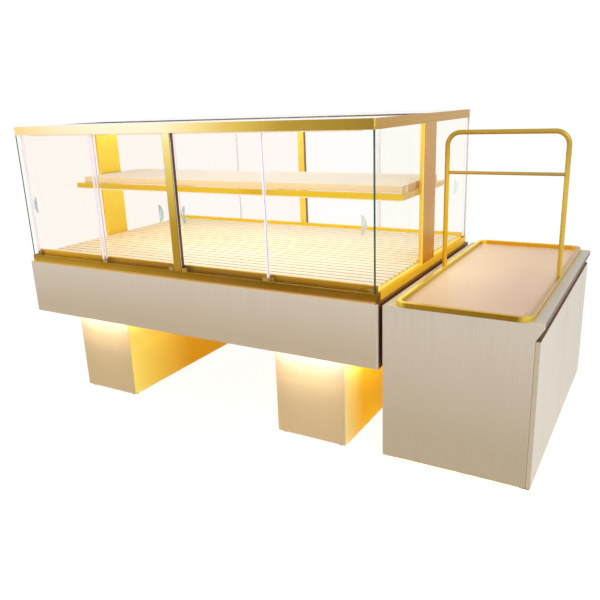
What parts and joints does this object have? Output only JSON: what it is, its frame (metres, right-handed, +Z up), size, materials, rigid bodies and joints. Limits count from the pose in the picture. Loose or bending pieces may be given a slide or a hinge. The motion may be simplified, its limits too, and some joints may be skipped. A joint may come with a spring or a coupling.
{
  "type": "bakery showcase",
  "caption": "Glazed bakery showcase with gold frame, sliding glass doors and slatted decks on a wood-grain base with pedestals, and a tray counter with an arch beside it.",
  "frame": {"origin": "middle of the footprint of the whole set, on the floor", "axes": "+X along the set from the glass case towards the tray counter, +Y from the customer's side to the staff side, +Z up"},
  "size_m": [2.61, 1.24, 1.411],
  "materials": {
    "laminate": "matt ash-grain laminate",
    "gold_metal": "gold-coloured satin stainless steel",
    "clear_glass": "polished clear glass",
    "clear_plastic": "clear moulded plastic",
    "slat_wood": "oiled pale wood",
    "tray_metal": "champagne-coloured brushed sheet",
    "black_plastic": "matt black plastic",
    "light_strip": "opal diffuser",
    "driver_housing": "bare aluminium",
    "steel": "zinc-plated steel"
  },
  "bodies": {
    "showcase_root": {"arch_bend": "gold_metal", "arch_collars": "gold_metal", "arch_crossbar": "gold_metal", "arch_legs": "gold_metal", "base_bottom_panel": "laminate", "base_end_panels": "laminate", "base_front_panel": "laminate", "base_led_strips": "light_strip", "base_rear_panel": "laminate", "base_top_panel": "laminate", "bottom_end_rails": "gold_metal", "bottom_rail_front": "gold_metal", "bottom_rail_rear": "gold_metal", "cable_gland": "black_plastic", "case_led_strips": "light_strip", "counter_bottom_panel": "laminate", "counter_divider": "laminate", "counter_door_pivots": "steel", "counter_front_panel": "laminate", "counter_left_panel": "laminate", "counter_plinth": "laminate", "counter_rear_panel": "laminate", "counter_worktop": "laminate", "end_glass_left": "clear_glass", "end_glass_right": "clear_glass", "end_post_left": "gold_metal", "end_post_right": "gold_metal", "front_mullion": "gold_metal", "led_driver": "driver_housing", "left_pedestal": "laminate", "levelling_feet": "black_plastic", "lower_deck": "slat_wood", "rear_mullion": "gold_metal", "right_pedestal": "laminate", "shelf_deck": "slat_wood", "shelf_frame": "gold_metal", "top_end_rails": "gold_metal", "top_glass": "clear_glass", "top_rail_front": "gold_metal", "top_rail_rear": "gold_metal", "tray_plate": "tray_metal", "tray_rim": "gold_metal"},
    "front_left_end_door": {"front_door_left_end": "clear_glass", "front_fittings_left_end": "clear_plastic"},
    "front_left_middle_door": {"front_door_left_middle": "clear_glass", "front_fittings_left_middle": "clear_plastic"},
    "front_right_middle_door": {"front_door_right_middle": "clear_glass", "front_fittings_right_middle": "clear_plastic"},
    "front_right_end_door": {"front_door_right_end": "clear_glass", "front_fittings_right_end": "clear_plastic"},
    "rear_left_end_door": {"rear_door_left_end": "clear_glass", "rear_fittings_left_end": "clear_plastic"},
    "rear_left_middle_door": {"rear_door_left_middle": "clear_glass", "rear_fittings_left_middle": "clear_plastic"},
    "rear_right_middle_door": {"rear_door_right_middle": "clear_glass", "rear_fittings_right_middle": "clear_plastic"},
    "rear_right_end_door": {"rear_door_right_end": "clear_glass", "rear_fittings_right_end": "clear_plastic"},
    "counter_front_leaf": {"counter_door_front": "laminate"},
    "counter_rear_leaf": {"counter_door_rear": "laminate"}
  },
  "joints": [
    {"name": "front_left_end_slide", "type": "slide", "parent": "showcase_root", "child": "front_left_end_door", "axis": [1, 0, 0], "range_m": [0, 0.442]},
    {"name": "front_left_middle_slide", "type": "slide", "parent": "showcase_root", "child": "front_left_middle_door", "axis": [-1, 0, 0], "range_m": [0, 0.498]},
    {"name": "front_right_middle_slide", "type": "slide", "parent": "showcase_root", "child": "front_right_middle_door", "axis": [1, 0, 0], "range_m": [0, 0.48]},
    {"name": "front_right_end_slide", "type": "slide", "parent": "showcase_root", "child": "front_right_end_door", "axis": [-1, 0, 0], "range_m": [0, 0.46]},
    {"name": "rear_left_end_slide", "type": "slide", "parent": "showcase_root", "child": "rear_left_end_door", "axis": [1, 0, 0], "range_m": [0, 0.442]},
    {"name": "rear_left_middle_slide", "type": "slide", "parent": "showcase_root", "child": "rear_left_middle_door", "axis": [-1, 0, 0], "range_m": [0, 0.498]},
    {"name": "rear_right_middle_slide", "type": "slide", "parent": "showcase_root", "child": "rear_right_middle_door", "axis": [1, 0, 0], "range_m": [0, 0.48]},
    {"name": "rear_right_end_slide", "type": "slide", "parent": "showcase_root", "child": "rear_right_end_door", "axis": [-1, 0, 0], "range_m": [0, 0.46]},
    {"name": "counter_front_hinge", "type": "hinge", "parent": "showcase_root", "child": "counter_front_leaf", "pos_m": [1.287, -0.612, 0.08], "axis": [0, 0, -1], "range_deg": [0, 95]},
    {"name": "counter_rear_hinge", "type": "hinge", "parent": "showcase_root", "child": "counter_rear_leaf", "pos_m": [1.287, 0.612, 0.08], "axis": [0, 0, 1], "range_deg": [0, 95]}
  ]
}
